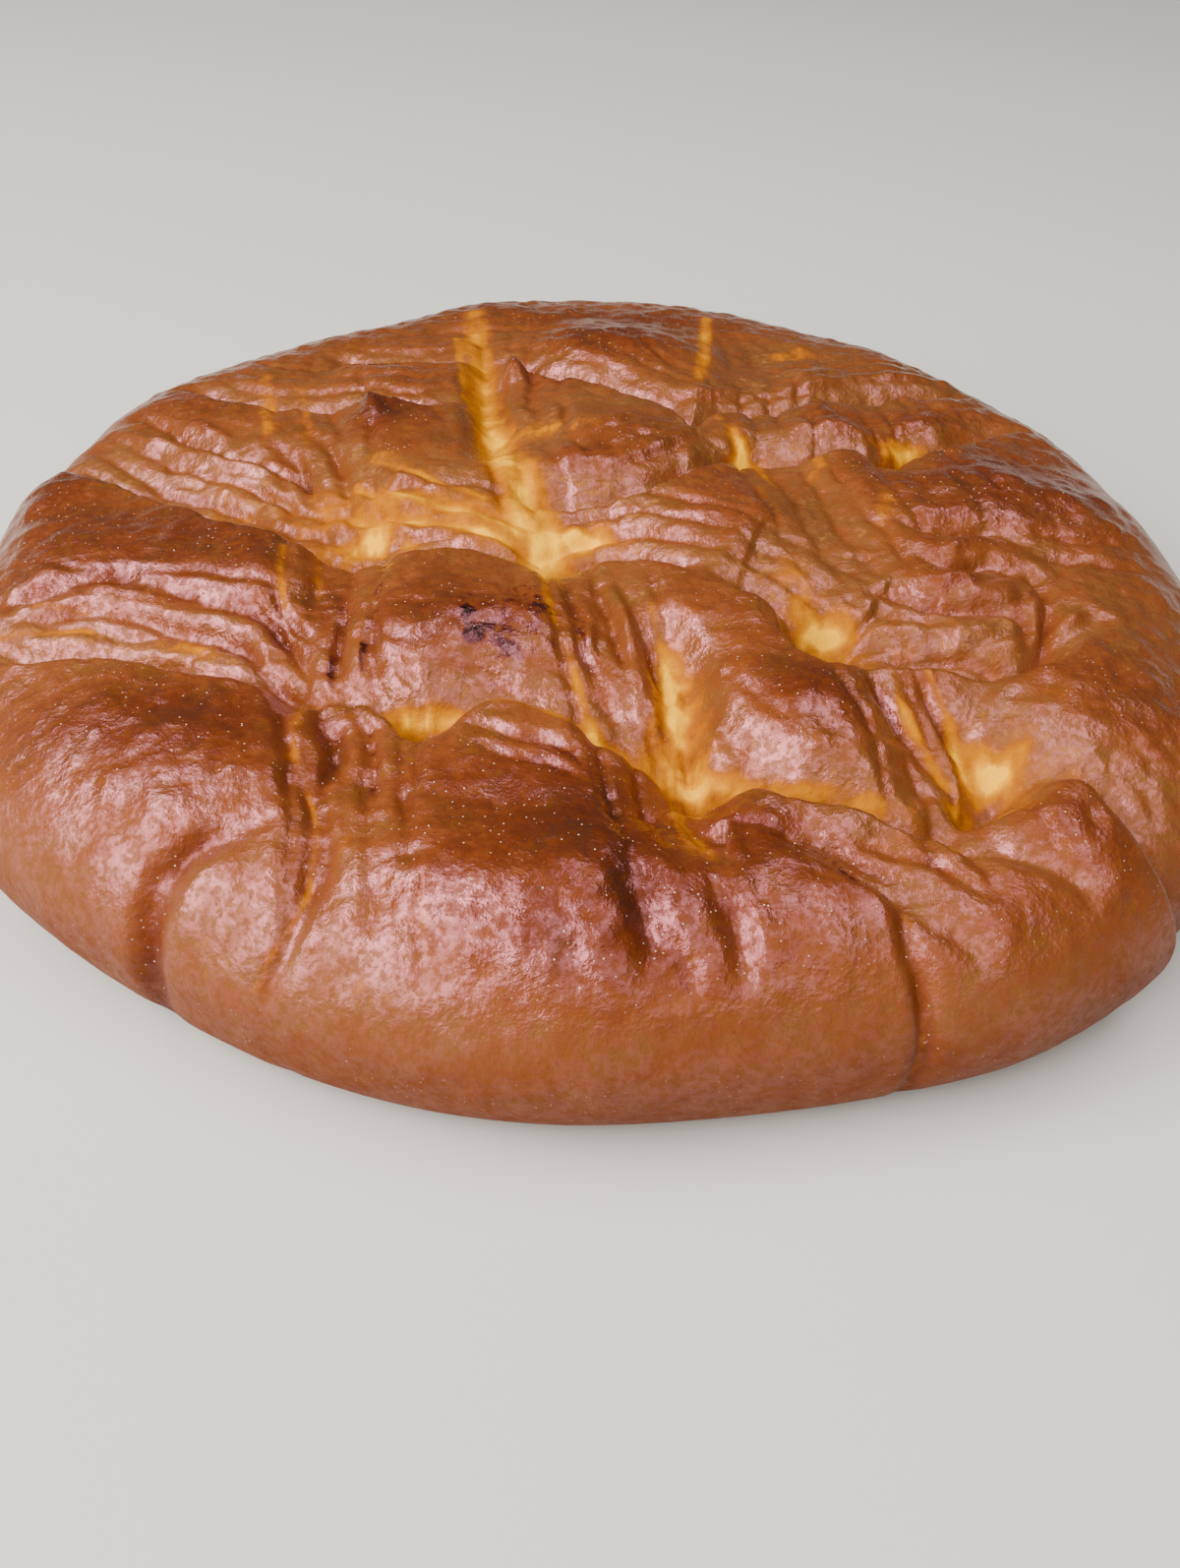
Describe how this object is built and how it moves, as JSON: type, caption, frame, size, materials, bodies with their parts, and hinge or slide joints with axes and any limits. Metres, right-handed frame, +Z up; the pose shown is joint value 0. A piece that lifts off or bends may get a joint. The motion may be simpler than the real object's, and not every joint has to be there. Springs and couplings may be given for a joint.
{
  "type": "gata loaf",
  "caption": "Round, flat loaf of sweet enriched bread with fork-scored bands, torn folds between puffed pillows and a glossy egg-washed crust.",
  "frame": {"origin": "middle of the footprint's bounding box, on the surface that the loaf stands on", "axes": "+Z up through the crown, -Y towards the front of the loaf, +X to the right seen from the front"},
  "size_m": [0.2244, 0.2304, 0.0448],
  "materials": {
    "crust": "glossy egg-washed brown crust"
  },
  "bodies": {
    "root": {"gata": "crust"}
  },
  "joints": []
}
